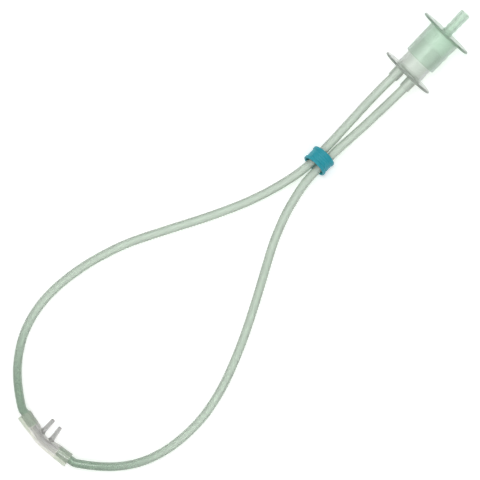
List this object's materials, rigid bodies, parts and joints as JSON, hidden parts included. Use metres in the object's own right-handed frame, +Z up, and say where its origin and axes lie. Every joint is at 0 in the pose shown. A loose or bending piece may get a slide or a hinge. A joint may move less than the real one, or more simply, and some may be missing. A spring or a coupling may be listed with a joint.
{
  "type": "nasal oxygen cannula",
  "caption": "Infant nasal oxygen cannula: a two-pronged nose piece on looped twin tubes with a slide ring, a cone connector and a barbed hose adapter.",
  "frame": {"origin": "on the floor, under the middle of the box round the nose piece, the Y connector and the hose adapter", "axes": "+Y along the connector from the nose piece towards the hose nipple, +Z up from the floor, +X to the right seen from above with the nipple away from the viewer"},
  "size_m": [0.107, 0.3182, 0.0298],
  "materials": {
    "clear_connector": "clear grey moulded plastic",
    "green_adapter": "pale green translucent moulded plastic",
    "green_tubing": "pale green translucent soft vinyl tubing",
    "teal_ring": "opaque teal soft moulded plastic, satin",
    "clear_nose_piece": "clear soft moulded vinyl"
  },
  "bodies": {
    "cannula": {"y_connector": "clear_connector", "tube_left": "green_tubing", "tube_right": "green_tubing", "nose_piece": "clear_nose_piece"},
    "adapter": {"hose_adapter": "green_adapter"},
    "ring": {"slide_ring": "teal_ring"}
  },
  "joints": [
    {"name": "adapter_pull", "type": "slide", "parent": "cannula", "child": "adapter", "axis": [0, 1, 0], "range_m": [0, 0.03]},
    {"name": "ring_slide", "type": "slide", "parent": "cannula", "child": "ring", "axis": [0.0192, 0.997, 0.0751], "range_m": [0, 0.02], "deforming": ["tube_left", "tube_right"]}
  ]
}
